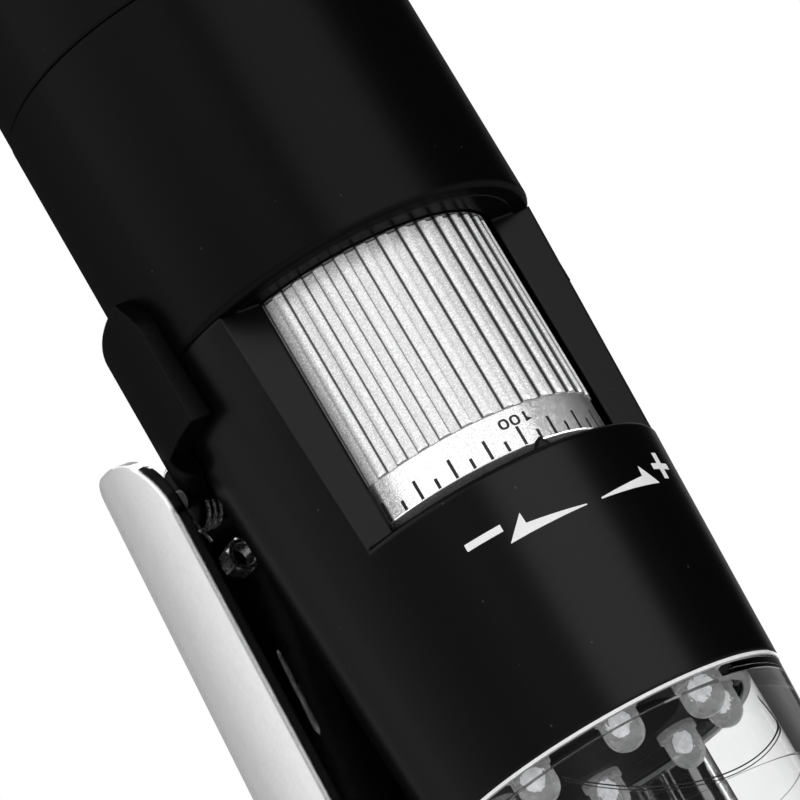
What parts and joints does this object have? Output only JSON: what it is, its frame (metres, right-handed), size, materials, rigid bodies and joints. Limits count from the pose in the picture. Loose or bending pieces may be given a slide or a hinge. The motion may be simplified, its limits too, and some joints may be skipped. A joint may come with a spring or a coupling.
{
  "type": "usb digital microscope",
  "caption": "Hand-held digital microscope with a clear nose ringed by lamps, a fluted focus dial in a side window and a fold-out channel-shaped stand leg.",
  "frame": {"origin": "centre of the clear nose's mouth, on the plane of its rim", "axes": "+Z along the body's axis from the nose up to the top cap; -Y is the front, where the dial's window is; +Y is the back, where the stand leg folds; +X is the viewer's right when facing the front"},
  "size_m": [0.0366, 0.0465, 0.1083],
  "materials": {
    "soft_black": "matte soft-touch",
    "dial_silver": "satin silver paint",
    "bright_chrome": "mirror bright",
    "clear_plastic": "clear polished",
    "lamp_epoxy": "clear, slightly milky",
    "black_board": "matte black lacquer",
    "green_board": "satin green lacquer",
    "inner_black": "matte moulded",
    "steel": "ground",
    "brass": "turned",
    "lens_glass": "coated optical",
    "soft_rubber": "matte rubber",
    "pale_plastic": "matte moulded"
  },
  "bodies": {
    "housing": {"top_cap": "soft_black", "cable_gland": "soft_rubber", "upper_tube": "soft_black", "lower_body": "soft_black", "clear_nose": "clear_plastic", "led_board": "black_board", "leds": "lamp_epoxy", "rod_holder": "inner_black", "guide_rods": "steel", "dial_washer": "inner_black", "dial_retainer": "inner_black", "sensor_board": "green_board", "image_sensor": "inner_black", "light_baffle": "inner_black", "board_posts": "brass", "main_board": "green_board", "board_chips": "inner_black", "board_screws": "steel", "tact_switch": "inner_black", "stand_saddle": "soft_black", "saddle_screws": "steel", "hinge_pins": "steel"},
    "dial": {"focus_dial": "dial_silver"},
    "carriage": {"lens_carriage": "inner_black", "front_lens": "lens_glass", "rear_lens": "lens_glass", "lens_ring": "inner_black"},
    "button": {"capture_button": "soft_black", "switch_plunger": "pale_plastic"},
    "leg": {"stand_leg": "bright_chrome", "foot_pad": "soft_rubber"}
  },
  "joints": [
    {"name": "focus_turn", "type": "hinge", "parent": "housing", "child": "dial", "pos_m": [0, 0, 0.048], "axis": [0, 0, 1], "range_deg": [-150, 150]},
    {"name": "lens_slide", "type": "slide", "parent": "housing", "child": "carriage", "axis": [0, 0, 1], "range_m": [-0.0051, 0.0051]},
    {"name": "capture_press", "type": "slide", "parent": "housing", "child": "button", "axis": [0, -1, 0], "range_m": [0, 0.0007], "stiffness_N_per_m": 400},
    {"name": "stand_fold", "type": "hinge", "parent": "housing", "child": "leg", "pos_m": [0, 0.0145, 0.0537], "axis": [1, 0, 0], "range_deg": [0, 50]}
  ],
  "couplings": [
    {"joint": "lens_slide", "follows": "focus_turn", "m_per_rad": 0.0019099}
  ]
}
